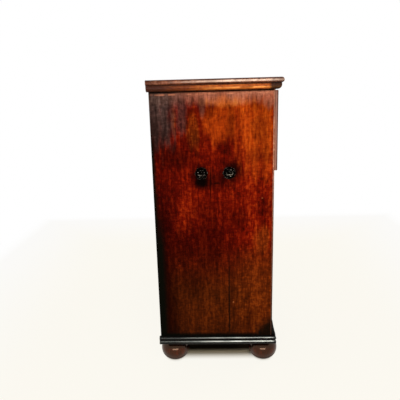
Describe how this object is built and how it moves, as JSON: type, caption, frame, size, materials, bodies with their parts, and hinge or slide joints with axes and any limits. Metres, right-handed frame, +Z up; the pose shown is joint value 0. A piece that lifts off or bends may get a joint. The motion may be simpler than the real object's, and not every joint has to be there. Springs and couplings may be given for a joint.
{
  "type": "campaign chest",
  "caption": "Wooden campaign chest with long drawers, moulded top and base, ball feet, drop pulls and side handle fittings.",
  "frame": {"origin": "on the floor, under the middle of the whole chest", "axes": "+Z up, the drawers face -Y, +X to the right of someone who faces the drawers"},
  "size_m": [0.85, 0.4526, 1.0568],
  "materials": {
    "case_wood": "dark red-brown, waxed and worn",
    "facing_wood": "lighter brown, waxed",
    "turned_wood": "red-brown, polished",
    "drawer_wood": "pale, unfinished",
    "dark_metal": "dark, handled"
  },
  "bodies": {
    "case": {"side_left": "case_wood", "side_right": "case_wood", "top_board": "case_wood", "cornice_front": "case_wood", "cornice_left": "case_wood", "cornice_right": "case_wood", "back_board_left": "drawer_wood", "back_board_right": "drawer_wood", "top_rail": "case_wood", "dust_board_upper": "drawer_wood", "dust_board_lower": "drawer_wood", "bottom_board": "drawer_wood", "front_bearer": "case_wood", "rear_bearer": "drawer_wood", "facing_left": "facing_wood", "facing_right": "facing_wood", "bead_upper": "facing_wood", "bead_lower": "facing_wood", "base_moulding_front": "case_wood", "base_moulding_left": "case_wood", "base_moulding_right": "case_wood", "base_cavetto_front": "case_wood", "foot_front_left": "turned_wood", "foot_front_right": "turned_wood", "foot_rear_left": "turned_wood", "foot_rear_right": "turned_wood", "handle_rosette_left_front": "dark_metal", "handle_rosette_left_rear": "dark_metal", "handle_rosette_right_front": "dark_metal", "handle_rosette_right_rear": "dark_metal"},
    "handle_bail": {"handle_bail_right": "dark_metal"},
    "drawer_upper": {"drawer_upper_front": "case_wood", "drawer_upper_side_left": "drawer_wood", "drawer_upper_side_right": "drawer_wood", "drawer_upper_back": "drawer_wood", "drawer_upper_bottom": "drawer_wood", "drawer_upper_facing": "case_wood", "pull_plate_upper_left": "dark_metal", "pull_plate_upper_right": "dark_metal"},
    "drop_upper_left": {"drop_upper_left": "dark_metal"},
    "drop_upper_right": {"drop_upper_right": "dark_metal"},
    "drawer_middle": {"drawer_middle_front": "case_wood", "drawer_middle_side_left": "drawer_wood", "drawer_middle_side_right": "drawer_wood", "drawer_middle_back": "drawer_wood", "drawer_middle_bottom": "drawer_wood", "pull_plate_middle_left": "dark_metal", "pull_plate_middle_right": "dark_metal"},
    "drop_middle_left": {"drop_middle_left": "dark_metal"},
    "drop_middle_right": {"drop_middle_right": "dark_metal"},
    "drawer_lower": {"drawer_lower_front": "case_wood", "drawer_lower_side_left": "drawer_wood", "drawer_lower_side_right": "drawer_wood", "drawer_lower_back": "drawer_wood", "drawer_lower_bottom": "drawer_wood", "pull_plate_lower_left": "dark_metal", "pull_plate_lower_right": "dark_metal"},
    "drop_lower_left": {"drop_lower_left": "dark_metal"},
    "drop_lower_right": {"drop_lower_right": "dark_metal"}
  },
  "joints": [
    {"name": "handle_bail_swing", "type": "hinge", "parent": "case", "child": "handle_bail", "pos_m": [0.414, 0.00275, 0.743], "axis": [0, -1, 0], "range_deg": [0, 100]},
    {"name": "drawer_upper_slide", "type": "slide", "parent": "case", "child": "drawer_upper", "axis": [0, -1, 0], "range_m": [0, 0.3]},
    {"name": "drop_upper_left_swing", "type": "hinge", "parent": "drawer_upper", "child": "drop_upper_left", "pos_m": [-0.19, -0.21975, 0.88165], "axis": [-1, 0, 0], "range_deg": [0, 100]},
    {"name": "drop_upper_right_swing", "type": "hinge", "parent": "drawer_upper", "child": "drop_upper_right", "pos_m": [0.19, -0.21975, 0.88165], "axis": [-1, 0, 0], "range_deg": [0, 100]},
    {"name": "drawer_middle_slide", "type": "slide", "parent": "case", "child": "drawer_middle", "axis": [0, -1, 0], "range_m": [0, 0.3]},
    {"name": "drop_middle_left_swing", "type": "hinge", "parent": "drawer_middle", "child": "drop_middle_left", "pos_m": [-0.19, -0.20375, 0.60665], "axis": [-1, 0, 0], "range_deg": [0, 100]},
    {"name": "drop_middle_right_swing", "type": "hinge", "parent": "drawer_middle", "child": "drop_middle_right", "pos_m": [0.19, -0.20375, 0.60665], "axis": [-1, 0, 0], "range_deg": [0, 100]},
    {"name": "drawer_lower_slide", "type": "slide", "parent": "case", "child": "drawer_lower", "axis": [0, -1, 0], "range_m": [0, 0.3]},
    {"name": "drop_lower_left_swing", "type": "hinge", "parent": "drawer_lower", "child": "drop_lower_left", "pos_m": [-0.19, -0.20375, 0.31765], "axis": [-1, 0, 0], "range_deg": [0, 100]},
    {"name": "drop_lower_right_swing", "type": "hinge", "parent": "drawer_lower", "child": "drop_lower_right", "pos_m": [0.19, -0.20375, 0.31765], "axis": [-1, 0, 0], "range_deg": [0, 100]}
  ]
}
